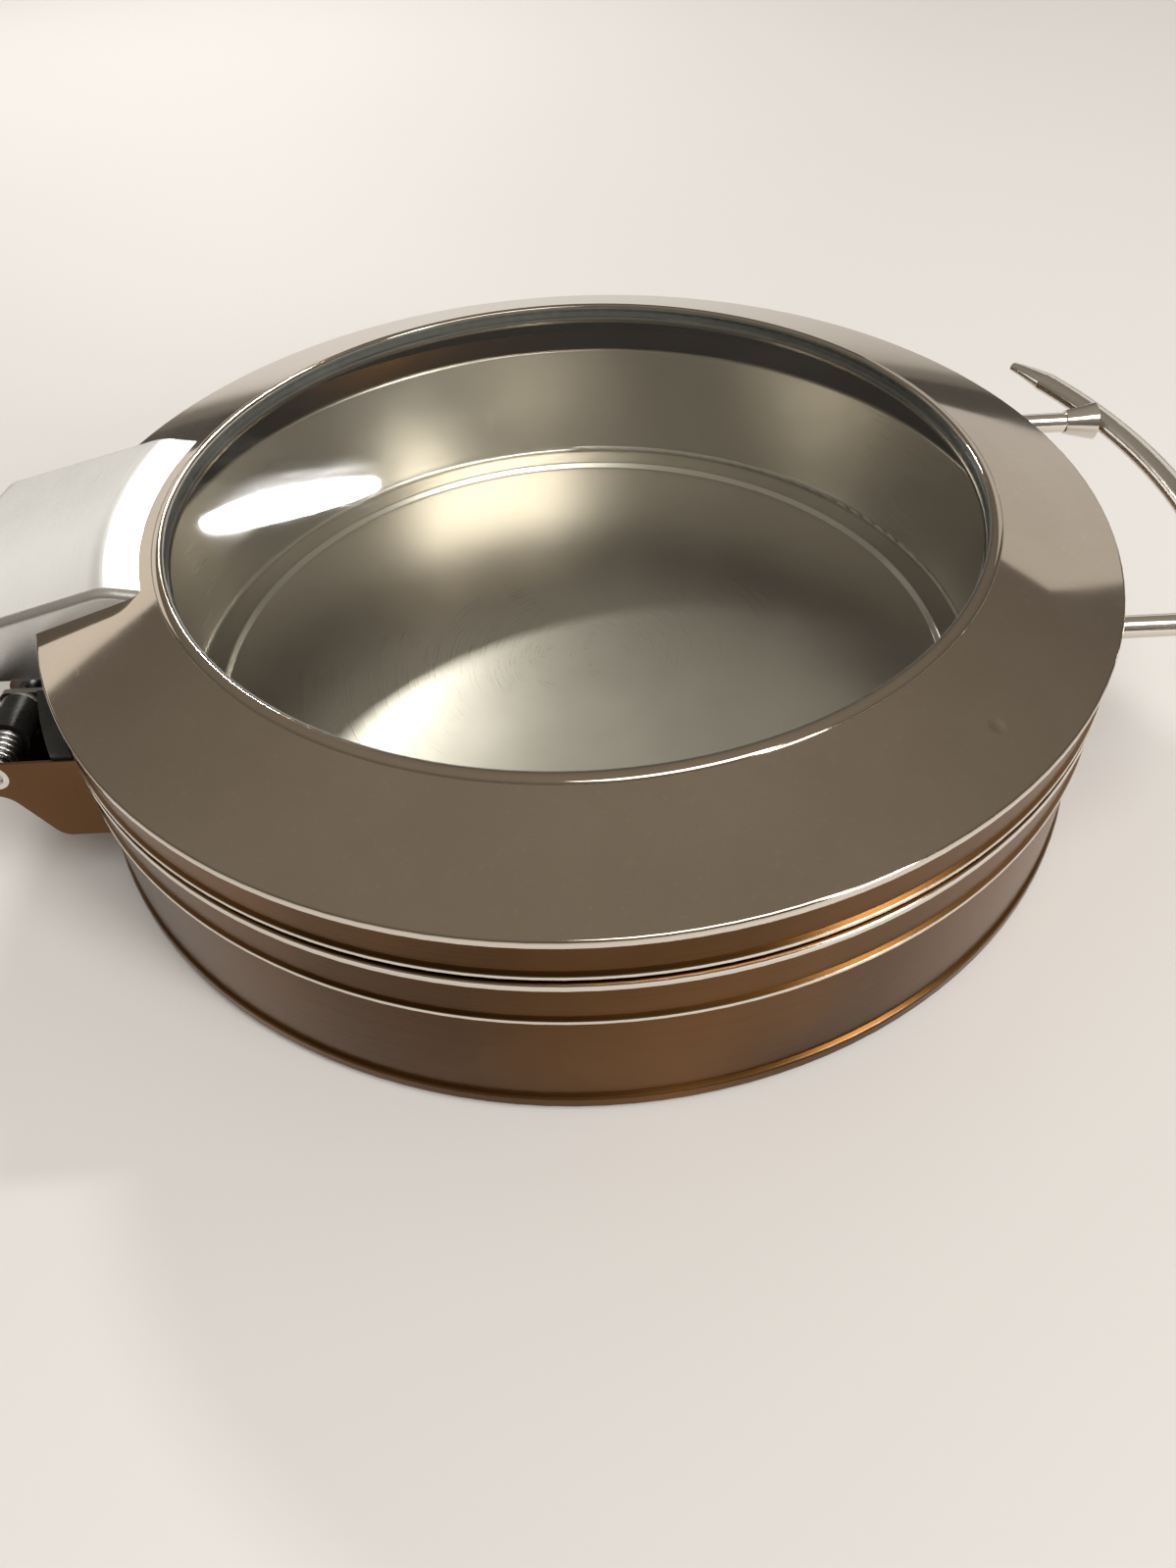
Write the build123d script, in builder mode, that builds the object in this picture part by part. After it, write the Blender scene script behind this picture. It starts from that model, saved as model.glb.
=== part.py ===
"""Round chafing dish with a hinged glass-window lid, in millimetres.

+Z is up and the dish stands on Z = 0.  The origin is under the centre of the
round body.  The hinge is at -X and the lid's handle is at +X.
"""
from build123d import *
from math import hypot, radians, sqrt, tan
import os

# ---------------------------------------------------------------- sizes
# Round body and lid
lid_radius = 210.0          # outer edge of the lid's sloping ring, and of every bead
seam_height = 74.8          # where the lid's skirt meets the base
skirt_height = 21.2         # from the seam up to the ring's outer edge
ring_width = 51.0           # from the ring's outer edge in to the visible glass
ring_rise = 17.0            # how far the ring climbs over that width
sheet = 1.2                 # sheet of the body, the lid and the hinge
bead_depth = 1.5            # how far a bead stands out from the wall
bead_half = 2.2             # half the height of a bead
bead_drop = 20.8            # the body's bead below the seam
seam_gap = 0.4              # open line between lid and base
edge_radius = 0.8           # smallest bend in the sheet

# Foot
pad_height = 2.5
pad_radius = 5.0
pad_count = 6
foot_band = 4.5             # height of the straight band at the bottom
foot_flange = 16.0          # turned-in flange under the body

# Food pan and water pan
pan_sheet = 1.0
pan_rim_width = 21.0        # flat rim of the food pan
pan_rim_inset = 10.5        # body edge to the food pan's rim
pan_rim_height = 5.9        # the food pan's rim stands this much over the water pan's
pan_draft = 7.5             # how much narrower the food pan is at its step
pan_depth = 56.5            # rim to cooking floor
pan_step_width = 11.5       # ledge round the cooking floor
pan_step_rise = 3.2
pan_bend = 3.0
water_pan_inset = 17.0      # body edge to the water pan's wall
water_pan_draft = 4.0
water_flange_inset = 3.6    # body edge to the water pan's flange
induction_radius = 119.0
induction_thickness = 4.0
induction_clearance = 3.2   # table to the induction disc
plate_gap = 2.0             # gap round the induction disc in the bottom plate
rest_gap = 0.3              # loose parts that rest on each other

# Glass window
glass_thickness = 4.0
glass_overlap = 1.3         # glass hidden under the trim
gasket_sheet = 1.0
gasket_lip = 0.5            # gasket showing inside the trim
trim_width = 4.4
trim_edge = 0.7             # bevel at the trim's inner edge, twice that outside
trim_height = 1.0           # crown of the trim over the gasket

seal_width = 3.5
seal_height = 4.3           # stays under the handle's washers

# Hinge
axis_offset = 5.0           # body edge out to the hinge axis
axis_drop = 6.8             # seam down to the hinge axis
shaft_radius = 4.0
shaft_half = 102.0
run_gap = 0.05              # running fit of the shaft, on the radius
housing_half = 103.5        # outside half width of the hinge housing
housing_depth = 16.0        # axis out to the housing's back
housing_drop = 16.0         # seam down to the housing's floor
foot_drop = 38.8            # seam down to the lowest edge of the cheeks
housing_top_gap = 0.4       # housing below the seam
cheek_foot_reach = 18.5     # how far the cheeks' feet stand off the body
floor_start = 2.3           # axis in to the start of the level floor
housing_bends = [6.0, 10.0, 3.0]
mid_open_half = 61.6        # half width of the gap that the hood swings through
bracket_inner = 62.0
bracket_thickness = 2.5
bracket_reach = 8.0
bush_wall = 2.0
bush_length = 4.0
spring_wire = 2.2
spring_coils = 5
spring_pitch = 2.55
spring_gap = 0.8            # shaft to spring
spring_leg = 9.0
side_gap = 0.3              # between neighbours along the shaft
damper_radius = 7.5
damper_length = 17.0
damper_foot = 8.0
liner_width = 6.7
liner_gap = 0.3
liner_rise = 1.1            # liner over the housing's top

# Hood over the hinge
hood_half = 59.5            # half width at the bottom edge
hood_taper = 7.0            # lean of its side walls, in degrees
hood_sheet = 1.5
hood_tail = 42.0            # axis out to the hood's back
hood_front_gap = 5.0        # valley between the window trim and the hood
hood_crest_run = 13.0       # valley to the hood's crest
hood_crest_rise = 6.8       # crest over the ring under it
hood_slope = 0.27           # fall of its top, per unit of length
hood_crest_bend = 22.0
hood_tail_bend = 9.0
hood_edge_radius = 3.5
hood_lift = 1.2             # hood's lower edge above the lid's
arm_inner = 48.0
arm_thickness = 4.0
arm_half_width = 6.0
tab_width = 10.0            # arms' tabs under the hood
tab_thickness = 2.5
tab_reach = 26.0
rivet_radius = 2.5
rivet_head = 1.2
knuckle_radius = 7.5
collar_length = 3.5

# Handle
handle_rise = 11.7          # seam up to the middle of the bar
handle_reach = 41.25        # body edge out to the middle of the bar
handle_width = 11.5
handle_thickness = 8.0
handle_half_angle = 26.0    # straight part of the bow, to each side
tip_radius = 130.0
tip_turn = 9.0
post_radius = 4.25
post_half = 73.0            # half the distance between the posts
tip_scale = 0.45
tip_rounding = 0.8
cup_radius = 8.0
cup_wall = 0.8
cup_length = 13.0
cup_seat = 1.5              # how far the cup reaches round the bar
screw_radius = 2.5
screw_depth = 8.0
screw_head = 2.0
screw_head_radius = 4.0
washer_radius = 5.0
washer_thickness = 0.8      # at its thinnest

# ---------------------------------------------------------------- derived
half = sheet / 2
wall_line = lid_radius - bead_depth - half      # middle of the sheet in the wall
bead_line = lid_radius - half                   # middle of the sheet at a bead
wall_outer = lid_radius - bead_depth
wall_inner = wall_outer - sheet
base_top = seam_height - seam_gap / 2
lid_bottom = seam_height + seam_gap / 2
edge_height = seam_height + skirt_height
ring_slope = ring_rise / ring_width
window_radius = lid_radius - ring_width
bead_height = seam_height - bead_drop
flange_top = base_top + pan_sheet
axis_x = -(lid_radius + axis_offset)
housing_top = seam_height - housing_top_gap
housing_back = axis_x - housing_depth
axis_height = seam_height - axis_drop
housing_floor = seam_height - housing_drop
housing_foot = seam_height - foot_drop
handle_height = seam_height + handle_rise


def ring_top(radius):
    """Height of the ring's upper surface at a distance from the centre."""
    return edge_height + (lid_radius - radius) * ring_slope


def wall_x(y, radius):
    """Distance from the YZ plane to a round wall at a given Y."""
    return sqrt(radius**2 - y**2)


def bent_sheet(points, thickness, bend):
    """Profile of a bent sheet whose middle runs through the points."""
    with BuildSketch(Plane.XZ) as profile:
        with BuildLine():
            FilletPolyline(*points, radius=bend)
        trace(line_width=thickness)
    return profile.sketch


def save(builder, label):
    """Label a finished piece and write its STEP file."""
    builder.part.label = label
    export_step(builder.part, f"parts/{label}.step")


os.makedirs("parts", exist_ok=True)

# ---------------------------------------------------------------- base
# Outer casing: foot flange, straight foot band, one bead at mid height and a
# rolled top edge that turns in to carry the water pan.
foot_line = pad_height + half
shell_path = [
    (bead_line - foot_flange, foot_line),
    (bead_line, foot_line),
    (bead_line, foot_line + foot_band),
    (wall_line, foot_line + foot_band + bead_depth),
    (wall_line, bead_height - bead_half),
    (bead_line, bead_height),
    (wall_line, bead_height + bead_half),
    (wall_line, base_top - half - bead_half - bead_depth),
    (bead_line, base_top - half - bead_half),
    (bead_line, base_top - half),
    (lid_radius - water_pan_inset + pan_bend + half, base_top - half),
]
with BuildPart() as body_shell:
    add(bent_sheet(shell_path, sheet, edge_radius))
    revolve(axis=Axis.Z)
save(body_shell, "body_shell")

# The casing filled solid, to cut the pieces that are fitted against it.
with BuildPart() as shell_core:
    with BuildSketch(Plane.XZ):
        with BuildLine():
            outline = FilletPolyline(*shell_path, radius=edge_radius)
            Polyline(
                outline @ 1,
                ((outline @ 1).X, base_top),
                (0, base_top),
                (0, pad_height),
                outline @ 0,
            )
        make_face()
    revolve(axis=Axis.Z)
    add(body_shell.part)

# Bottom plate round the induction disc.
plate_bottom = pad_height + sheet
with BuildPart() as bottom_plate:
    with BuildSketch(Plane.XY.offset(plate_bottom)):
        Circle(wall_inner - edge_radius - half)
        Circle(induction_radius + plate_gap, mode=Mode.SUBTRACT)
    extrude(amount=sheet)
save(bottom_plate, "bottom_plate")

with BuildPart() as foot_pads:
    with BuildSketch():
        with PolarLocations(lid_radius - foot_flange / 2, pad_count, start_angle=30):
            Circle(pad_radius)
    extrude(amount=pad_height)
save(foot_pads, "foot_pads")

# Water pan, hung from the casing's top flange, with the induction disc under it.
water_floor = induction_clearance + induction_thickness + pan_sheet / 2
water_wall = lid_radius - water_pan_inset
with BuildPart() as water_pan:
    add(
        bent_sheet(
            [
                (lid_radius - water_flange_inset, flange_top - pan_sheet / 2),
                (water_wall, flange_top - pan_sheet / 2),
                (water_wall - water_pan_draft, water_floor),
                (0, water_floor),
            ],
            pan_sheet,
            pan_bend,
        )
    )
    revolve(axis=Axis.Z)
save(water_pan, "water_pan")

with BuildPart() as induction_disc:
    with BuildSketch(Plane.XY.offset(induction_clearance)):
        Circle(induction_radius)
    extrude(amount=induction_thickness)
    chamfer(induction_disc.edges().group_by(Axis.Z)[0], 1)
save(induction_disc, "induction_disc")

# ---------------------------------------------------------------- food pan
pan_lip = lid_radius - pan_rim_inset
pan_rim_top = flange_top + pan_rim_height
rim_line = pan_rim_top - pan_sheet / 2
pan_wall = pan_lip - pan_rim_width
floor_line = pan_rim_top - pan_depth - pan_sheet / 2
step_line = pan_wall - pan_draft
with BuildPart() as food_pan:
    add(
        bent_sheet(
            [
                (pan_lip, flange_top + rest_gap),
                (pan_lip, rim_line),
                (pan_wall, rim_line),
                (step_line, floor_line + pan_step_rise),
                (step_line - pan_step_width, floor_line + pan_step_rise - 1),
                (step_line - pan_step_width - 2, floor_line),
                (0, floor_line),
            ],
            pan_sheet,
            [pan_sheet, pan_sheet, pan_bend, pan_sheet, pan_sheet],
        )
    )
    revolve(axis=Axis.Z)
save(food_pan, "food_pan")

# ---------------------------------------------------------------- lid
ring_drop = half * hypot(1, ring_slope)         # middle of the sheet under its top
seat_line = window_radius + glass_overlap + gasket_sheet + half
gasket_top = ring_top(seat_line) + ring_slope * sheet
glass_top = gasket_top - gasket_sheet
glass_bottom = glass_top - glass_thickness
ledge_line = glass_bottom - gasket_sheet - half
skirt_foot = lid_bottom + half
with BuildPart() as lid_ring:
    add(
        bent_sheet(
            [
                (window_radius - glass_overlap, ledge_line),
                (seat_line, ledge_line),
                (seat_line, ring_top(seat_line) - ring_drop),
                (bead_line, ring_top(bead_line) - ring_drop),
                (bead_line, edge_height - bead_half - half),
                (wall_line, edge_height - 2 * bead_half),
                (wall_line, skirt_foot + 2 * bead_half),
                (bead_line, skirt_foot + bead_half),
                (wall_line, skirt_foot),
            ],
            sheet,
            edge_radius,
        )
    )
    revolve(axis=Axis.Z)
    with BuildSketch(Plane.YZ.offset(wall_x(post_half, wall_outer) - screw_depth)):
        with Locations((-post_half, handle_height), (post_half, handle_height)):
            Circle(screw_radius + run_gap)
    extrude(amount=2 * screw_depth, mode=Mode.SUBTRACT)
save(lid_ring, "lid_ring")

with BuildPart() as window_glass:
    with BuildSketch(Plane.XY.offset(glass_bottom)):
        Circle(window_radius + glass_overlap)
    extrude(amount=glass_thickness)
    fillet(window_glass.edges(), 0.6)
save(window_glass, "window_glass")

# Channel gasket round the glass: lip above, wall outside, lip below.
gasket_outer = window_radius + glass_overlap + gasket_sheet
with BuildPart() as glass_gasket:
    with BuildSketch(Plane.XZ):
        with Locations((window_radius - gasket_lip, glass_bottom - gasket_sheet)):
            Rectangle(
                gasket_outer - window_radius + gasket_lip,
                glass_thickness + 2 * gasket_sheet,
                align=(Align.MIN, Align.MIN),
            )
        with Locations((0, glass_bottom)):
            Rectangle(
                window_radius + glass_overlap,
                glass_thickness,
                align=(Align.MIN, Align.MIN),
                mode=Mode.SUBTRACT,
            )
    revolve(axis=Axis.Z)
    foot_edges = glass_gasket.edges().group_by(Axis.Z)[0]
    chamfer(foot_edges.sort_by(SortBy.RADIUS)[-1], gasket_sheet / 2)
save(glass_gasket, "glass_gasket")

# Rounded trim bead that hides the gasket and the ring's inner edge.
trim_outer = window_radius + trim_width
with BuildPart() as window_trim:
    with BuildSketch(Plane.XZ):
        with BuildLine():
            Polyline(
                (window_radius, gasket_top),
                (window_radius + trim_edge, gasket_top + trim_height),
                (trim_outer - 2 * trim_edge, gasket_top + trim_height),
                (trim_outer, ring_top(trim_outer)),
                (seat_line + half, ring_top(seat_line + half)),
                (seat_line - half, gasket_top),
                close=True,
            )
        make_face()
    revolve(axis=Axis.Z)
save(window_trim, "window_trim")

# Soft seal inside the skirt; it rests on the water pan's flange.
seal_bottom = flange_top + rest_gap
with BuildPart() as lid_seal:
    with BuildSketch(Plane.XZ):
        with Locations((wall_inner - seal_width, seal_bottom)):
            Rectangle(seal_width, seal_height, align=(Align.MIN, Align.MIN))
    revolve(axis=Axis.Z)
save(lid_seal, "lid_seal")

# ---------------------------------------------------------------- hinge, base side
axis_point = (axis_x, axis_height)
floor_top = housing_floor + sheet
cheek_edge = -wall_x(housing_half, wall_outer)
housing_path = [
    (cheek_edge, housing_foot + half),
    (cheek_edge - cheek_foot_reach, housing_foot + half),
    (axis_x + floor_start, housing_floor + half),
    (housing_back + half, housing_floor + half),
    (housing_back + half, housing_top),
]
bush_radius = shaft_radius + bush_wall


def across(y):
    """Plane square to the shaft at a distance to the left of the middle."""
    return Plane.XZ.offset(y)


# Housing: a bent floor and back over the full width, with a cheek at each end.
# The middle of the floor is cut away where the hood swings through.
with BuildPart() as hinge_housing:
    add(bent_sheet(housing_path, sheet, housing_bends))
    extrude(amount=housing_half, dir=(0, 1, 0), both=True)
    for cheek_start in (housing_half - sheet, -housing_half):
        with BuildSketch(across(cheek_start)):
            with BuildLine():
                skin = FilletPolyline(*housing_path, radius=housing_bends)
                Polyline(skin @ 1, (cheek_edge, housing_top), skin @ 0)
            make_face()
        extrude(amount=sheet)
    with BuildSketch(Plane.XY.offset(housing_foot)):
        with Locations((axis_x - run_gap, 0)):
            Rectangle(2 * housing_depth, 2 * mid_open_half, align=(Align.MAX, Align.CENTER))
    extrude(amount=seam_height, mode=Mode.SUBTRACT)
    with BuildSketch(Plane.XZ):
        with Locations(axis_point):
            Circle(bush_radius)
    extrude(amount=lid_radius, both=True, mode=Mode.SUBTRACT)
    add(shell_core.part, mode=Mode.SUBTRACT)
save(hinge_housing, "hinge_housing")

# Inner bracket of each tower, standing on the floor against the casing.
with BuildPart() as hinge_bracket_left:
    with BuildSketch(across(bracket_inner)) as plate:
        with Locations((axis_x - bracket_reach, floor_top)):
            Rectangle(
                bracket_reach - axis_x + cheek_edge,
                housing_top - floor_top,
                align=(Align.MIN, Align.MIN),
            )
        fillet(plate.vertices().group_by(Axis.X)[0].sort_by(Axis.Y)[-1], bracket_reach / 2)
        with Locations(axis_point):
            Circle(bush_radius, mode=Mode.SUBTRACT)
    extrude(amount=bracket_thickness)
    add(shell_core.part, mode=Mode.SUBTRACT)
save(hinge_bracket_left, "hinge_bracket_left")

with BuildPart() as hinge_bracket_right:
    add(mirror(hinge_bracket_left.part, about=Plane.XZ))
save(hinge_bracket_right, "hinge_bracket_right")

with BuildPart() as shaft_bushes:
    for bush_start in (
        bracket_inner,
        housing_half - bush_length,
        -bracket_inner - bush_length,
        -housing_half,
    ):
        with BuildSketch(across(bush_start)):
            with Locations(axis_point):
                Circle(bush_radius)
                Circle(shaft_radius + run_gap, mode=Mode.SUBTRACT)
        extrude(amount=bush_length)
save(shaft_bushes, "shaft_bushes")

# Rotary damper round the shaft, with a foot on the housing's floor.
damper_start = bracket_inner + bush_length + side_gap
with BuildPart() as hinge_damper_left:
    with BuildSketch(across(damper_start)):
        with Locations(axis_point):
            Circle(damper_radius)
        with Locations((axis_x, floor_top)):
            Rectangle(damper_foot, axis_height - floor_top, align=(Align.CENTER, Align.MIN))
        with Locations(axis_point):
            Circle(shaft_radius + side_gap, mode=Mode.SUBTRACT)
    extrude(amount=damper_length)
save(hinge_damper_left, "hinge_damper_left")

with BuildPart() as hinge_damper_right:
    add(mirror(hinge_damper_left.part, about=Plane.XZ))
save(hinge_damper_right, "hinge_damper_right")

# Torsion spring wound round the shaft, with one straight leg.
spring_start = damper_start + damper_length + side_gap + spring_wire / 2
coil_radius = shaft_radius + spring_gap + spring_wire / 2
with BuildPart() as hinge_spring_left:
    with BuildLine():
        coil = Helix(
            pitch=spring_pitch,
            height=spring_pitch * spring_coils,
            radius=coil_radius,
            center=(axis_x, -spring_start, axis_height),
            direction=(0, -1, 0),
        )
    with BuildSketch(Plane(coil @ 0, z_dir=coil % 0)):
        Circle(spring_wire / 2)
    sweep(path=coil, is_frenet=True)
    with BuildSketch(Plane(coil @ 1, z_dir=coil % 1)):
        Circle(spring_wire / 2)
    extrude(amount=spring_leg)
save(hinge_spring_left, "hinge_spring_left")

with BuildPart() as hinge_spring_right:
    add(mirror(hinge_spring_left.part, about=Plane.XZ))
save(hinge_spring_right, "hinge_spring_right")

# Soft black liner between the casing and each tower.
liner_start = bracket_inner + bracket_thickness + side_gap
liner_span = housing_half - sheet - side_gap - liner_start
liner_inner = lid_radius + liner_gap
with BuildPart() as hinge_liner_left:
    with BuildSketch(Plane.XY.offset(floor_top)):
        Circle(liner_inner + liner_width)
        Circle(liner_inner, mode=Mode.SUBTRACT)
        with Locations((0, -liner_start)):
            Rectangle(2 * lid_radius, liner_span, align=(Align.MAX, Align.MAX), mode=Mode.INTERSECT)
    extrude(amount=housing_top + liner_rise - floor_top)
    with BuildSketch(Plane.XZ):
        with Locations(axis_point):
            Circle(damper_radius + side_gap)
    extrude(amount=housing_half, mode=Mode.SUBTRACT)
save(hinge_liner_left, "hinge_liner_left")

with BuildPart() as hinge_liner_right:
    add(mirror(hinge_liner_left.part, about=Plane.XZ))
save(hinge_liner_right, "hinge_liner_right")

# ---------------------------------------------------------------- hinge, lid side
front_radius = trim_outer + hood_front_gap
crest_radius = front_radius + hood_crest_run
crest_height = ring_top(crest_radius) + hood_crest_rise
tail_radius = hood_tail - axis_x
hood_bottom = lid_bottom + hood_lift
hood_outline = [
    (front_radius, ring_top(front_radius)),
    (crest_radius, crest_height),
    (tail_radius, crest_height - hood_slope * (tail_radius - crest_radius)),
    (tail_radius, hood_bottom),
    (front_radius, hood_bottom),
]


def hood_space(inset, depth=0.0):
    """Solid inside the hood's skin, going deeper than its lower edge if asked."""
    spread = tan(radians(hood_taper)) * depth
    with BuildPart() as space:
        with BuildSketch(Plane.XY.offset(hood_bottom - depth)):
            Rectangle(
                tail_radius + hood_tail,
                2 * (hood_half - inset + spread),
                align=(Align.MAX, Align.CENTER),
            )
        extrude(amount=depth + skirt_height + ring_rise, taper=hood_taper)
        with BuildSketch(Plane.XZ) as outline:
            with BuildLine():
                Polyline(*hood_outline, close=True)
            make_face()
            fillet(outline.vertices().group_by(Axis.Y)[-1], hood_crest_bend)
            tail_corner = outline.vertices().group_by(Axis.X)[-1].sort_by(Axis.Y)[-1]
            fillet(tail_corner, hood_tail_bend)
            if inset:
                offset(amount=-inset, kind=Kind.INTERSECTION)
                with Locations((front_radius + inset, hood_bottom + 2 * inset)):
                    Rectangle(
                        tail_radius - front_radius - 2 * inset,
                        depth + 2 * inset,
                        align=(Align.MIN, Align.MAX),
                    )
        revolve(axis=Axis.Z, mode=Mode.INTERSECT)
    return space.part


# Everything under the ring's upper surface, to seat the hood on it.
with BuildPart() as ring_core:
    with BuildSketch(Plane.XZ):
        with BuildLine():
            Polyline(
                (0, ring_top(0)),
                (lid_radius + side_gap, ring_top(lid_radius + side_gap)),
                (lid_radius + side_gap, 0),
                (0, 0),
                close=True,
            )
        make_face()
    revolve(axis=Axis.Z)

with BuildPart() as hinge_hood:
    add(hood_space(0))
    top_edges = hinge_hood.edges().filter_by(
        lambda edge: (edge @ 0.5).X < -crest_radius and (edge @ 0.5).Z > edge_height
    )
    fillet(top_edges.filter_by(lambda edge: abs((edge @ 0.5).Y) > arm_inner), hood_edge_radius)
    add(hood_space(hood_sheet, axis_height), mode=Mode.SUBTRACT)
    add(ring_core.part, mode=Mode.SUBTRACT)
save(hinge_hood, "hinge_hood")

# Arms from the shaft up to the hood.  Each arm is cut to the hood's inside.
arm_room = hood_space(hood_sheet, axis_height)
with BuildPart() as hinge_arm_left:
    with BuildSketch(across(arm_inner)):
        with Locations(axis_point):
            Circle(knuckle_radius)
        with Locations((axis_x, axis_height)):
            Rectangle(2 * arm_half_width, crest_height, align=(Align.CENTER, Align.MIN))
        with Locations(axis_point):
            Circle(shaft_radius, mode=Mode.SUBTRACT)
    extrude(amount=arm_thickness)
    add(arm_room, mode=Mode.INTERSECT)
save(hinge_arm_left, "hinge_arm_left")

with BuildPart() as hinge_arm_right:
    add(mirror(hinge_arm_left.part, about=Plane.XZ))
save(hinge_arm_right, "hinge_arm_right")

# Tabs that carry the arms: two plates lying against the hood's underside.
tab_room = hood_space(hood_sheet + tab_thickness, axis_height)
with BuildPart() as arm_tabs:
    with BuildSketch(Plane.XY.offset(edge_height - skirt_height / 2)):
        for side in (-1, 1):
            with Locations((axis_x + arm_half_width, side * (arm_inner - tab_width / 2))):
                Rectangle(tab_reach, tab_width, align=(Align.MAX, Align.CENTER))
    extrude(amount=skirt_height + ring_rise)
    add(arm_room, mode=Mode.INTERSECT)
    add(tab_room, mode=Mode.SUBTRACT)
save(arm_tabs, "arm_tabs")

# Rivet heads under the tabs.
rivet_room = hood_space(hood_sheet + tab_thickness + rivet_head, axis_height)
rivet_step = tab_reach / 2
with BuildPart() as arm_rivets:
    with BuildSketch(Plane.XY.offset(edge_height - skirt_height / 2)):
        for side in (-1, 1):
            first = axis_x + arm_half_width - rivet_step / 2
            with Locations(
                (first, side * (arm_inner - tab_width / 2)),
                (first - rivet_step, side * (arm_inner - tab_width / 2)),
            ):
                Circle(rivet_radius)
    extrude(amount=skirt_height + ring_rise)
    add(tab_room, mode=Mode.INTERSECT)
    add(rivet_room, mode=Mode.SUBTRACT)
save(arm_rivets, "arm_rivets")

with BuildPart() as hinge_shaft:
    with BuildSketch(Plane.XZ):
        with Locations(axis_point):
            Circle(shaft_radius)
    extrude(amount=shaft_half, both=True)
    chamfer(hinge_shaft.edges().filter_by(GeomType.CIRCLE), 0.5)
save(hinge_shaft, "hinge_shaft")

with BuildPart() as shaft_collars:
    for collar_start in (
        arm_inner + arm_thickness + run_gap,
        -arm_inner - arm_thickness - run_gap - collar_length,
    ):
        with BuildSketch(across(collar_start)):
            with Locations(axis_point):
                Circle(knuckle_radius)
                Circle(shaft_radius + run_gap, mode=Mode.SUBTRACT)
        extrude(amount=collar_length)
save(shaft_collars, "shaft_collars")

# ---------------------------------------------------------------- handle
# Bow bar, level with the top of the skirt: a middle arc about the dish's
# centre and two tighter, tapering tips.
bow_radius = lid_radius + handle_reach
with BuildPart() as handle_bar:
    with BuildLine(Plane.XY.offset(handle_height)):
        middle = CenterArc((0, 0), bow_radius, -handle_half_angle, 2 * handle_half_angle)
        left_tip = JernArc(middle @ 0, (middle % 0) * -1, tip_radius, -tip_turn)
        right_tip = JernArc(middle @ 1, middle % 1, tip_radius, tip_turn)
    for path, end_scale in ((middle, 1), (left_tip, tip_scale), (right_tip, tip_scale)):
        for place, scale in ((0, 1), (1, end_scale)):
            with BuildSketch(Plane(path @ place, x_dir=(0, 0, 1), z_dir=path % place)):
                Ellipse(scale * handle_thickness / 2, scale * handle_width / 2)
        sweep(path=path, multisection=True)
    fillet(handle_bar.edges().sort_by(SortBy.LENGTH)[:2], tip_rounding)
save(handle_bar, "handle_bar")

# Round posts, each drawn up to the skirt by a screw from inside.
post_root = wall_x(post_half, wall_outer)
post_point = (-post_half, handle_height)
post_points = (post_point, (post_half, handle_height))
bar_inner = wall_x(post_half, bow_radius - handle_width / 2)
with BuildPart() as handle_post_left:
    with BuildSketch(Plane.YZ.offset(post_root - post_radius)):
        with Locations(post_point):
            Circle(post_radius)
    extrude(amount=bar_inner + handle_width / 4 - post_root + post_radius)
    with BuildSketch(Plane.XY):
        Circle(wall_outer)
    extrude(amount=edge_height, mode=Mode.SUBTRACT)
    with BuildSketch(Plane.YZ.offset(post_root - post_radius)):
        with Locations(post_point):
            Circle(screw_radius + run_gap)
    extrude(amount=screw_depth + post_radius + 1, mode=Mode.SUBTRACT)
    add(handle_bar.part, mode=Mode.SUBTRACT)
save(handle_post_left, "handle_post_left")

with BuildPart() as handle_post_right:
    add(mirror(handle_post_left.part, about=Plane.XZ))
save(handle_post_right, "handle_post_right")

# Flared cups where the posts meet the bar.
with BuildPart() as handle_cups:
    for place, radius in ((cup_seat - cup_length, post_radius + cup_wall), (cup_seat, cup_radius)):
        with BuildSketch(Plane.YZ.offset(bar_inner + place)):
            with Locations(post_point):
                Circle(radius)
    loft()
    mirror(about=Plane.XZ)
    with BuildSketch(Plane.YZ.offset(bar_inner - 2 * cup_length)):
        with Locations(*post_points):
            Circle(post_radius + run_gap)
    extrude(amount=handle_reach, mode=Mode.SUBTRACT)
    add(handle_bar.part, mode=Mode.SUBTRACT)
save(handle_cups, "handle_cups")

# Saddle washers, flat inside and curved to the skirt outside, and the screws.
washer_flat = wall_x(post_half + washer_radius, wall_inner) - washer_thickness
with BuildPart() as post_washers:
    with BuildSketch(Plane.XY.offset(handle_height - washer_radius)):
        Circle(wall_inner)
    extrude(amount=2 * washer_radius)
    with BuildSketch(Plane.YZ.offset(washer_flat)):
        with Locations(*post_points):
            Circle(washer_radius)
            Circle(screw_radius + run_gap, mode=Mode.SUBTRACT)
    extrude(amount=4 * washer_radius, mode=Mode.INTERSECT)
save(post_washers, "post_washers")

with BuildPart() as post_screws:
    with BuildSketch(Plane.YZ.offset(washer_flat - screw_head)):
        with Locations(*post_points):
            Circle(screw_head_radius)
    extrude(amount=screw_head)
    chamfer(post_screws.edges().group_by(Axis.X)[0], screw_head / 4)
    with BuildSketch(Plane.YZ.offset(washer_flat - screw_head)):
        with Locations(*post_points):
            RegularPolygon(screw_radius / 2, 6)
    extrude(amount=screw_head / 2, mode=Mode.SUBTRACT)
    with BuildSketch(Plane.YZ.offset(washer_flat)):
        with Locations(*post_points):
            Circle(screw_radius)
    extrude(amount=post_root + screw_depth - washer_flat)
save(post_screws, "post_screws")
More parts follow.
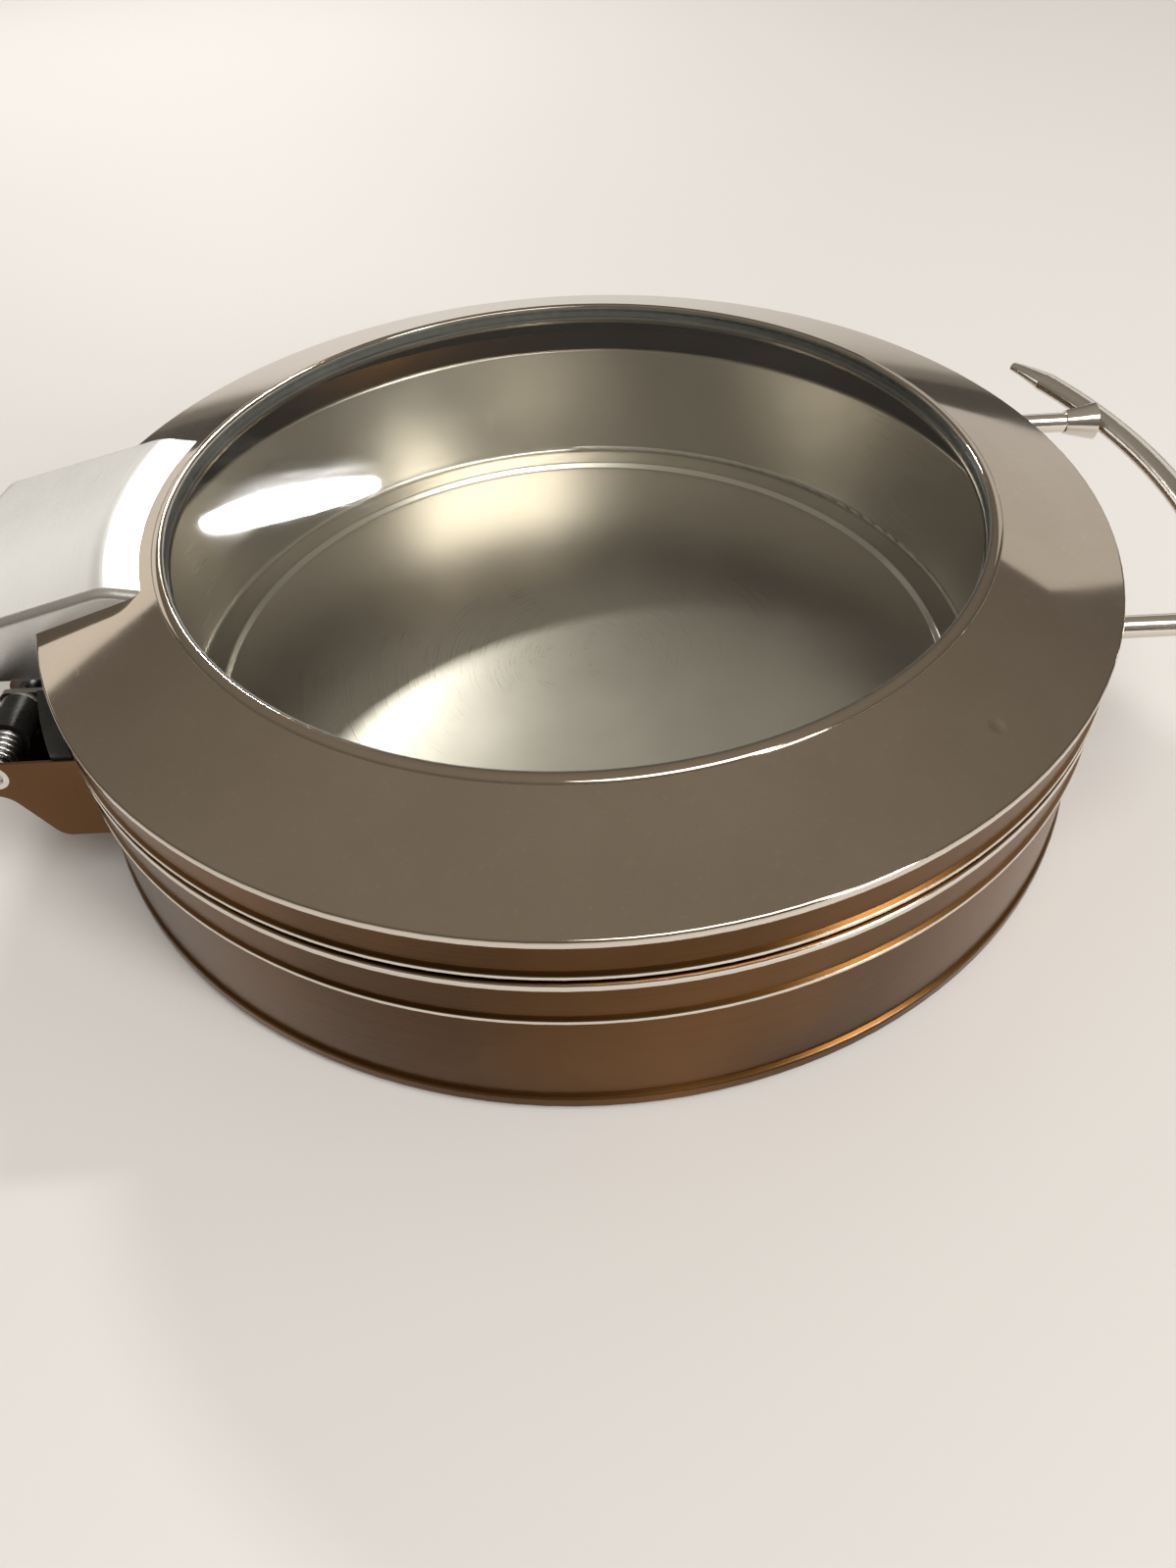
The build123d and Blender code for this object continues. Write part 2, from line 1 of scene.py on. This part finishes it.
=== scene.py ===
# %% [markdown]
# # A round chafing dish with a glass window in its lid
#
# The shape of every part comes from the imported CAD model, so this lesson is
# about light and finish: how polished steel, satin steel, clear glass and
# black rubber get their look from small changes in roughness, tone and relief.
# Lengths are in metres, Z is up, and the dish stands on Z = 0.

# %% Load the model
import bpy
from math import cos, pi, sin
from mathutils import Matrix, Vector


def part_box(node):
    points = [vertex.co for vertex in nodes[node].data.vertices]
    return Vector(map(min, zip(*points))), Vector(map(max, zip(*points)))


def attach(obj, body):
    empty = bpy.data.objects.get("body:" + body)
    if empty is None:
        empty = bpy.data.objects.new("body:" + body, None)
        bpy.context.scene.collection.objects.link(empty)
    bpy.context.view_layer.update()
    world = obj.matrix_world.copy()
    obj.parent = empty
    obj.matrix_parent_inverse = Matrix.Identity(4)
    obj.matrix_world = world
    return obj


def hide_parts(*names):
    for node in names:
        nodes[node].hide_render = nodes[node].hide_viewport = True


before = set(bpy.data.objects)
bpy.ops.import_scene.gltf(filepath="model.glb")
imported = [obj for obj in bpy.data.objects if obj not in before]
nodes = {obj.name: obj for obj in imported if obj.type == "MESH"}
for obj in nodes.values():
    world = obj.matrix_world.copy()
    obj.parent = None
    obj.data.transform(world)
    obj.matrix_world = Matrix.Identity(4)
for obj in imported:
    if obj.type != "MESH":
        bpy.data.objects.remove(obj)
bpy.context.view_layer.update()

# %% [markdown]
# ## The camera
#
# A wide lens held close above the front edge makes the near rim loom large.
# A camera could be aimed with a Track To constraint, but a fixed matrix made
# of its right, up and backward directions says exactly how it stands, tilt
# included, and nothing can change it later.

# %% Camera
def add_camera(place, right, up, forward, lens):
    data = bpy.data.cameras.new("camera")
    data.sensor_fit = "VERTICAL"
    data.sensor_height = 36.0
    data.lens = lens
    data.clip_start = 0.01
    camera = bpy.data.objects.new("camera", data)
    bpy.context.collection.objects.link(camera)
    back = -Vector(forward)
    turn = Matrix((Vector(right), Vector(up), back)).transposed().to_4x4()
    camera.matrix_world = Matrix.Translation(place) @ turn
    bpy.context.scene.camera = camera
    return camera


camera = add_camera(
    place=Vector((0.0, -0.4070, 0.3644)),
    right=(0.99873972, -0.03552562, -0.03545272),
    up=(0.05018161, 0.71919121, 0.69299769),
    forward=(-0.00087811, 0.6939034, -0.72006757),
    lens=27.02,
)
print("camera at", tuple(round(v, 3) for v in camera.location))

# %% [markdown]
# ## A small language for materials
#
# A material is a graph of nodes, and writing one node per line hides the
# idea. Here a socket is wrapped in a small class, so that the maths of a mask
# reads as maths: `1 - mask * 0.4` adds its Math nodes by itself. Any other
# node comes from one method, `Graph.node`, which sets the node's own options
# first and then fills or links its sockets.

# %% Sockets that do maths
class Signal:
    """One number that changes over a surface."""

    def __init__(self, graph, socket):
        self.graph = graph
        self.socket = socket

    def maths(self, operation, *values):
        node = self.graph.node("ShaderNodeMath", {"operation": operation}, dict(enumerate(values)))
        return Signal(self.graph, node.outputs[0])

    def __add__(self, other):
        return self.maths("ADD", self, other)

    def __radd__(self, other):
        return self.maths("ADD", other, self)

    def __sub__(self, other):
        return self.maths("SUBTRACT", self, other)

    def __rsub__(self, other):
        return self.maths("SUBTRACT", other, self)

    def __mul__(self, other):
        return self.maths("MULTIPLY", self, other)

    def __rmul__(self, other):
        return self.maths("MULTIPLY", other, self)

    def __truediv__(self, other):
        return self.maths("DIVIDE", self, other)

    def __pow__(self, other):
        return self.maths("POWER", self, other)

    def between(self, low, high):
        """0 at low, 1 at high, and straight between them."""
        node = self.graph.node(
            "ShaderNodeMapRange", {"clamp": True}, {"Value": self, "From Min": low, "From Max": high}
        )
        return Signal(self.graph, node.outputs["Result"])


# %% [markdown]
# ## A graph of nodes
#
# A material is a graph of nodes, and so is the background of the world, so the
# method that makes a node sits in a class that both can use. A node's settings
# and its sockets could be filled in any order, but a setting such as a Mix
# node's data type changes which sockets work, so settings always come first.

# %% Graph
class Graph:
    """The nodes of a material or of the world."""

    def __init__(self, tree):
        self.tree = tree
        self.tree.nodes.clear()

    def node(self, kind, settings=None, values=None):
        node = self.tree.nodes.new(kind)
        for key, value in (settings or {}).items():
            setattr(node, key, value)
        for key, value in (values or {}).items():
            value = value.socket if isinstance(value, Signal) else value
            if isinstance(value, bpy.types.NodeSocket):
                self.tree.links.new(value, node.inputs[key])
            else:
                node.inputs[key].default_value = value
        return node

    def tones(self, share, first, second):
        """A colour that runs from first to second as share goes from 0 to 1."""
        mix = self.node("ShaderNodeMix", {"data_type": "RGBA"}, {"Factor": share})
        ends = [socket for socket in mix.inputs if socket.type == "RGBA"]
        for end, colour in zip(ends, (first, second)):
            if isinstance(colour, bpy.types.NodeSocket):
                self.tree.links.new(colour, end)
            else:
                end.default_value = (*colour, 1)
        return next(socket for socket in mix.outputs if socket.type == "RGBA")


# %% [markdown]
# ## A finish
#
# A finish is a material whose patterns are laid out in the piece's own
# coordinates. Patterns could also follow an unwrapped surface, but these parts
# have none, and noise in space runs on across every fold without a seam. The
# pattern moves with the piece when the lid opens.

# %% Finish
class Finish(Graph):
    """A material, with the position on the piece ready for its patterns."""

    def __init__(self, name):
        self.material = bpy.data.materials.new(name)
        self.material.use_nodes = True
        super().__init__(self.material.node_tree)
        self.place = self.node("ShaderNodeTexCoord").outputs["Object"]
        axes = self.node("ShaderNodeSeparateXYZ", {}, {"Vector": self.place})
        self.x, self.y, self.z = (Signal(self, axes.outputs[i]) for i in range(3))

    def radius(self):
        """Distance from the dish's upright middle line."""
        return (self.x * self.x + self.y * self.y) ** 0.5

    def vector(self, x, y, z):
        return self.node("ShaderNodeCombineXYZ", {}, {"X": x, "Y": y, "Z": z}).outputs[0]

    def noise(self, scale, detail=3.0, place=None, roughness=0.5):
        values = {"Vector": place or self.place, "Scale": scale, "Detail": detail, "Roughness": roughness}
        return Signal(self, self.node("ShaderNodeTexNoise", {}, values).outputs["Fac"])

    def relief(self, height, depth):
        """A bump whose height of 1 stands for depth, in metres."""
        return self.node("ShaderNodeBump", {}, {"Height": height, "Distance": depth}).outputs["Normal"]

    def shader(self, values):
        return self.node("ShaderNodeBsdfPrincipled", {}, values).outputs[0]

    def done(self, surface):
        self.node("ShaderNodeOutputMaterial", {}, {"Surface": surface})
        return self.material


# %% Put a finish on
def dress(material, *names):
    """Put a material on the named nodes, in place of what they had."""
    for name in names:
        piece = nodes[name]
        piece.data.materials.clear()
        piece.data.materials.append(material)
    print(material.name, "on", ", ".join(names))


# %% [markdown]
# ## Brushing that runs round the body
#
# Satin steel is full of fine parallel scratches, and on a round body they run
# round it, because the wheel stays still while the body turns. An anisotropic
# shader gives the same stretched glow, but it is lost when a model is
# exported. So the scratches are drawn: noise that changes slowly with the
# angle round the dish and very fast up the wall.

# %% Brushed round
STREAKS_PER_RADIAN = 1.2
STREAKS_PER_METRE = 2600.0


def brushed_round(finish, seam):
    """Streaks round the dish. Their pattern's ends meet at -X if seam is -1, and at +X if it is 1."""
    angle = finish.y.maths("ARCTAN2", finish.y, finish.x * -seam)
    up, out = finish.z * STREAKS_PER_METRE, finish.radius() * STREAKS_PER_METRE
    place = finish.vector(angle * STREAKS_PER_RADIAN, up, out)
    return finish.noise(1.0, detail=3.0, place=place, roughness=0.6)


print("streaks about", round(1000 / STREAKS_PER_METRE, 2), "mm apart")


# %% [markdown]
# ## Satin steel, and steel polished to a mirror
#
# The lid is one sheet with two finishes: the sloping ring is polished to a
# mirror, and the skirt below it is satin like the body. Two materials could
# meet on the mesh, but the mesh isn't ours to cut, so one material changes
# its roughness and its brushing with height.
#
# A real mirror finish is never quite even. Faint wipe marks raise the
# roughness a little, the sheet has slow waves that bend reflections, and the
# ring has one small dent, which could be pushed into the mesh, but is so
# shallow that relief in the material shows it. The rolled beads stand out past
# the wall and are polished, and their colour is painted far lighter than the
# wall as a painted highlight of light from above, so their mask is simply the
# distance from the middle line.

# %% Steel sheet
MIRROR_TONE = ((0.44, 0.375, 0.30), (0.52, 0.455, 0.375))
# Painted reflection: the satin's dark brown stands for a brown wooden table mirrored in the wall, not for
# the steel's own colour.
BROWN_SATIN_PAINTED_REFLECTION = ((0.058, 0.024, 0.006), (0.190, 0.088, 0.024))
BEAD_PAINTED_HIGHLIGHT = (0.80, 0.74, 0.66)
WALL_RADIUS = 0.2085
BEAD_RADIUS = 0.2100
BEAD_START = WALL_RADIUS + 0.0009
BEAD_CREST = BEAD_RADIUS - 0.0003
FOOT_EDGE = (0.008, 0.010)
POLISH_EDGE = 0.0004
SATIN_ROUGH = 0.28
SHEET_RELIEF = 0.0004
DENT_MIDDLE = 0.0008
DENT_RADIUS = 0.0032


def steel(
    name,
    polish_from,
    mirror_tone=MIRROR_TONE,
    satin_tone=BROWN_SATIN_PAINTED_REFLECTION,
    haze=0.05,
    grain=0.05,
    beads=False,
    dent=None,
    seam=-1,
):
    """Sheet steel, satin below the height polish_from and a mirror above it."""
    finish = Finish(name)
    mirror = finish.z.between(polish_from - POLISH_EDGE, polish_from + POLISH_EDGE)
    brushing = brushed_round(finish, seam)
    wipes = finish.noise(9.0, detail=5.0, roughness=0.6).between(0.45, 0.75)
    specks = finish.noise(420.0, detail=2.0).between(0.60, 0.75)
    # Painted reflection: these patches paint ochre and dark table reflections into the satin's colour.
    painted_reflection_patches = finish.noise(9.0, detail=3.0).between(0.35, 0.68)
    colour = finish.tones(brushing.between(0.2, 0.8) * 0.35 + painted_reflection_patches * 0.65, *satin_tone)
    polish = mirror
    if beads:
        # Painted highlight: this mask paints the beads far lighter than the wall, and it also polishes
        # them.
        bead_polish_and_highlight = finish.radius().between(BEAD_START, BEAD_CREST) * finish.z.between(*FOOT_EDGE)
        colour = finish.tones(bead_polish_and_highlight, colour, BEAD_PAINTED_HIGHLIGHT)
        polish = mirror.maths("MAXIMUM", mirror, bead_polish_and_highlight)
    colour = finish.tones(mirror, colour, finish.tones(wipes * 0.7 + specks * 0.3, *mirror_tone))
    satin_rough = SATIN_ROUGH + (brushing - 0.5) * grain + wipes * 0.05
    mirror_rough = haze + wipes * 0.07 + specks * 0.03
    waves = finish.noise(7.0, detail=1.0)
    height = waves * 0.9 + brushing * (1 - polish) * (grain * 0.3)
    if dent:
        side, along = finish.x - dent[0], finish.y - dent[1]
        hollow = 1 - ((side * side + along * along) ** 0.5).between(DENT_MIDDLE, DENT_RADIUS)
        height = height - hollow * 0.9
    surface = finish.shader(
        {
            "Base Color": colour,
            "Metallic": 1.0,
            "Roughness": satin_rough + (mirror_rough - satin_rough) * polish,
            "Normal": finish.relief(height, SHEET_RELIEF),
        }
    )
    return finish.done(surface)


RING_EDGE = 0.0953
DENT_PLACE = (0.131, -0.138)
dress(steel("lid_steel", polish_from=RING_EDGE, beads=True, dent=DENT_PLACE), "lid_ring")

# %% [markdown]
# ## The same steel on the other sheet parts
#
# The body is satin all the way up, and the trim and the handle are polished
# all over. The same maker serves them, with the polish starting above the
# tallest part or below the lowest.

# %% Satin and polished parts
NOWHERE = 1.0
EVERYWHERE = -1.0
PAN_TONE = ((0.60, 0.56, 0.49), (0.70, 0.66, 0.59))
INNER_TONE = ((0.34, 0.34, 0.34), (0.48, 0.47, 0.46))
HANDLE_TONE = ((0.66, 0.62, 0.56), (0.76, 0.72, 0.66))

# The body takes the dark brown satin, a painted reflection of the table.
dress(steel("body_steel", NOWHERE, beads=True), "body_shell")
dress(steel("trim_steel", EVERYWHERE), "window_trim")
dress(
    steel("handle_steel", EVERYWHERE, mirror_tone=HANDLE_TONE, haze=0.08),
    "handle_bar",
    "handle_post_left",
    "handle_post_right",
    "handle_cups",
)
dress(steel("pan_steel", NOWHERE, satin_tone=PAN_TONE), "food_pan")
dress(
    steel("inner_steel", NOWHERE, satin_tone=INNER_TONE),
    "bottom_plate",
    "water_pan",
    "hinge_bracket_left",
    "hinge_bracket_right",
    "hinge_arm_left",
    "hinge_arm_right",
    "arm_tabs",
    "arm_rivets",
    "shaft_collars",
    "post_washers",
    "induction_disc",
)

# %% [markdown]
# ## The hinge
#
# The hood and the housing are bent from the same sheet, so they take the sheet
# steel's finish. The hood's bright tone is a painted sheen of light from above,
# and the housing's brown is a painted reflection of a brown table, like the
# body's. Both sit at -X, so the ends of their streak pattern are put at +X,
# where neither reaches.
#
# The shaft, the springs and the screws are drawn with fine marks that lie
# close together along Y, the way the shaft lies. They could be cut into the
# mesh as grooves, but they are finer than a render can show, and noise that
# changes fast along Y and slowly across it gives the same glint.

# %% Turned steel
TURNED_MARKS = (300.0, 1500.0, 300.0)


def turned_steel(name, tone):
    """Bright steel with marks that are close together along Y."""
    finish = Finish(name)
    across_x, along_y, across_z = TURNED_MARKS
    place = finish.vector(finish.x * across_x, finish.y * along_y, finish.z * across_z)
    marks = finish.noise(1.0, detail=4.0, place=place, roughness=0.6)
    wear = finish.noise(26.0, detail=5.0, roughness=0.65).between(0.5, 0.75)
    surface = finish.shader(
        {
            "Base Color": finish.tones(marks.between(0.25, 0.75), *tone),
            "Metallic": 1.0,
            "Roughness": 0.17 + marks * 0.15 + wear * 0.10,
            "Normal": finish.relief(marks * 0.03 + finish.noise(14.0, detail=1.0), 0.0003),
        }
    )
    return finish.done(surface)


# Painted light: a bright painted sheen for the hood and a dark painted reflection for the housing, on one
# satin sheet.
HOOD_PAINTED_SHEEN = ((0.58, 0.58, 0.56), (0.84, 0.84, 0.81))
CHEEK_PAINTED_REFLECTION = ((0.10, 0.050, 0.020), (0.19, 0.100, 0.048))
WIRE_TONE = ((0.40, 0.40, 0.41), (0.62, 0.62, 0.63))
dress(steel("hood_steel", NOWHERE, satin_tone=HOOD_PAINTED_SHEEN, grain=0.12, seam=1), "hinge_hood")
dress(steel("housing_steel", NOWHERE, satin_tone=CHEEK_PAINTED_REFLECTION, seam=1), "hinge_housing")
dress(
    turned_steel("turned_steel", WIRE_TONE),
    "hinge_shaft",
    "hinge_spring_left",
    "hinge_spring_right",
    "post_screws",
)

# %% [markdown]
# ## The window
#
# Glass bends light, and a ray tracer can follow that, but then the pan below
# is lit only by rays that happen to find a lamp through the pane, which is
# slow and dark. A flat pane hardly moves what is behind it. So it is a mix of
# a clear shader, which lets rays straight through, and a mirror, with the
# mirror's share from the Fresnel law: small from above and large at a low
# angle. Inside faces get no mirror, because the rays weren't bent there.
# Faint wipe marks add a little haze.

# %% Clear glass
GLASS_IOR = 1.5
GLASS_TINT = (0.965, 0.975, 0.970, 1)
GLINT_TONE = (0.93, 0.95, 0.95, 1)


def clear_glass(name):
    finish = Finish(name)
    fresnel = Signal(finish, finish.node("ShaderNodeFresnel", {}, {"IOR": GLASS_IOR}).outputs[0])
    inside = Signal(finish, finish.node("ShaderNodeNewGeometry").outputs["Backfacing"])
    stretched = finish.vector(finish.x * 14.0, finish.y * 34.0, finish.z)
    wipes = finish.noise(1.0, detail=4.0, place=stretched, roughness=0.55).between(0.45, 0.80)
    dust = finish.noise(900.0, detail=1.0).between(0.72, 0.80)
    mirror = finish.shader({"Base Color": GLINT_TONE, "Metallic": 1.0, "Roughness": 0.015 + wipes * 0.06})
    clear = finish.node("ShaderNodeBsdfTransparent", {}, {"Color": GLASS_TINT}).outputs[0]
    share = (fresnel + wipes * 0.03 + dust * 0.03) * (1 - inside)
    surface = finish.node("ShaderNodeMixShader", {}, {0: share, 1: clear, 2: mirror})
    return finish.done(surface.outputs[0])


dress(clear_glass("window_clear"), "window_glass")

# %% [markdown]
# ## The bead round the window
#
# The bead is a thin, round ring that mirrors everything, so the flat facets of
# a CAD mesh show in it as a saw edge. A Subdivision modifier would only round
# its corners. A ring is what a lathe makes, so it is turned here from a short
# profile in many small steps, to the sizes of the CAD part that it replaces.

# %% Turned bead
def turned_ring(name, profile, steps):
    """A closed profile of (radius, height) points, turned round the Z axis."""
    count = len(profile)
    points = []
    for step in range(steps):
        angle = 2 * pi * step / steps
        points += [(r * cos(angle), r * sin(angle), z) for r, z in profile]
    faces = []
    for step in range(steps):
        here, there = step * count, (step + 1) % steps * count
        for i in range(count):
            j = (i + 1) % count
            faces.append((here + i, there + i, there + j, here + j))
    data = bpy.data.meshes.new(name)
    data.from_pydata(points, [], faces)
    data.shade_smooth()
    ring = bpy.data.objects.new(name, data)
    bpy.context.collection.objects.link(ring)
    return ring


def bead_profile(node, width, crown, points=14):
    """A rounded bead over the node's place: (radius, height) points, inside first."""
    low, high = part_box(node)
    outer, inner = high[0], high[0] - width
    fall = high[2] - low[2] - crown
    profile = [(inner + crown / 4, low[2]), (outer - crown / 4, low[2])]
    for i in range(points + 1):
        angle = pi * i / points
        radius = (inner + outer) / 2 + width / 2 * cos(angle)
        shoulder = high[2] - crown - fall * (1 + cos(angle)) / 2
        profile.append((radius, shoulder + crown * sin(angle)))
    return profile


TRIM_WIDTH = 0.0044
TRIM_CROWN = 0.0010
TRIM_STEPS = 360
profile = bead_profile("window_trim", TRIM_WIDTH, TRIM_CROWN)
window_bead = turned_ring("window_bead", profile, TRIM_STEPS)
window_bead.data.materials.append(nodes["window_trim"].data.materials[0])
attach(window_bead, "lid")
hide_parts("window_trim")
print("bead", len(window_bead.data.polygons), "faces")

# %% [markdown]
# ## Rubber, plastic and paint
#
# The gasket, the seal, the pads and the hinge's liners are black silicone or
# plastic. Black parts look real when they aren't quite black and not evenly
# dull: a fine grain in the relief, and dust that lightens them in patches.

# %% Dull parts
def dull(name, tone, rough, grain=1400.0, depth=0.00006):
    """A non-metal with a fine moulded grain and a little dust."""
    finish = Finish(name)
    texture = finish.noise(grain, detail=3.0)
    dust = finish.noise(60.0, detail=6.0, roughness=0.7).between(0.50, 0.80)
    surface = finish.shader(
        {
            "Base Color": finish.tones(dust * 0.5 + texture * 0.2, *tone),
            "Roughness": rough + dust * 0.12 + texture * 0.06,
            "Normal": finish.relief(texture, depth),
        }
    )
    return finish.done(surface)


BLACK = ((0.012, 0.012, 0.012), (0.055, 0.052, 0.050))
SMOKE = ((0.10, 0.10, 0.09), (0.16, 0.16, 0.145))
NATURAL = ((0.70, 0.67, 0.60), (0.56, 0.53, 0.47))
dress(dull("black_rubber", BLACK, 0.50), "lid_seal", "foot_pads")
dress(dull("smoke_rubber", SMOKE, 0.35), "glass_gasket")
dress(dull("black_liner", BLACK, 0.42), "hinge_liner_left", "hinge_liner_right")
dress(dull("damper_paint", BLACK, 0.22, grain=500.0), "hinge_damper_left", "hinge_damper_right")
dress(dull("bush_plastic", NATURAL, 0.38), "shaft_bushes")

# %% [markdown]
# ## The floor
#
# The dish stands on something pale and matt. It could be a curved backdrop,
# but the view looks down, so one flat plane fills it. A very faint mottle
# keeps it from looking like a drawn colour.

# %% Floor
def pale_floor(half_width, tone):
    data = bpy.data.meshes.new("floor")
    corners = [(-1, -1, 0), (1, -1, 0), (1, 1, 0), (-1, 1, 0)]
    data.from_pydata([half_width * Vector(c) for c in corners], [], [(0, 1, 2, 3)])
    floor = bpy.data.objects.new("floor", data)
    bpy.context.collection.objects.link(floor)
    finish = Finish("floor_paint")
    mottled = finish.tones(finish.noise(3.0, detail=4.0), tone, tuple(0.97 * c for c in tone))
    data.materials.append(finish.done(finish.shader({"Base Color": mottled, "Roughness": 0.6})))
    print("floor", 2 * half_width, "m wide")


pale_floor(6.0, (0.80, 0.79, 0.78))

# %% [markdown]
# ## The room
#
# Polished steel has no look of its own: it shows the room. The room could be
# walls and a ceiling, but all that the steel needs from them is a soft change
# of tone with height. So it is a background that is dim at the horizon and a
# little brighter overhead. The Standard view shows the tones as they are set.

# %% Room
def room(horizon, overhead, strength):
    world = bpy.data.worlds.new("room")
    bpy.context.scene.world = world
    world.use_nodes = True
    graph = Graph(world.node_tree)
    towards = graph.node("ShaderNodeTexCoord").outputs["Generated"]
    height = graph.node("ShaderNodeSeparateXYZ", {}, {"Vector": towards}).outputs["Z"]
    colour = graph.tones(height, horizon, overhead)
    sky = graph.node("ShaderNodeBackground", {}, {"Color": colour, "Strength": strength})
    graph.node("ShaderNodeOutputWorld", {}, {"Surface": sky.outputs[0]})
    print("room from", horizon, "at the horizon to", overhead, "overhead")


room(horizon=(0.12, 0.11, 0.10), overhead=(0.37, 0.33, 0.28), strength=1.0)
bpy.context.scene.view_settings.view_transform = "Standard"

# %% [markdown]
# ## Soft panels
#
# The light could come from the room alone, but then the steel looks flat. A
# few large soft panels with darker space between them each become a soft
# bright shape in it. The narrow strip is the streak on the window. Two weak
# panels stand behind the dish, where the ring and the hood mirror them. Two
# strong ones stand on the near side, where the ring doesn't mirror them to the
# camera, and they light the body's wall and the inside of the pan.

# %% Panels
SOFT_WHITE = (1.0, 0.97, 0.93)


def panel(name, place, towards, width, height, watts, shape="RECTANGLE"):
    data = bpy.data.lights.new(name, "AREA")
    data.shape = shape
    data.size, data.size_y = width, height
    data.energy = watts
    data.color = SOFT_WHITE
    lamp = bpy.data.objects.new(name, data)
    lamp.location = place
    lamp.rotation_euler = (Vector(towards) - Vector(place)).to_track_quat("-Z", "Y").to_euler()
    bpy.context.collection.objects.link(lamp)
    print(name, watts, "W,", width, "by", height, "m")


LID = (0.0, 0.0, 0.11)
panel("window_strip", (-0.54, 1.55, 1.08), LID, 0.34, 0.055, 12, shape="ELLIPSE")
panel("right_panel", (1.30, 1.75, 0.66), LID, 1.2, 0.9, 2.2)
panel("hinge_panel", (-1.45, 1.35, 0.62), (-0.2, 0, 0.1), 1.2, 0.75, 2.8)
panel("front_panel", (1.45, -1.30, 0.70), (0, 0, 0.05), 0.5, 1.0, 22)
panel("ceiling_panel", (0.8, -1.4, 2.4), (0, 0, 0), 1.8, 1.2, 44)
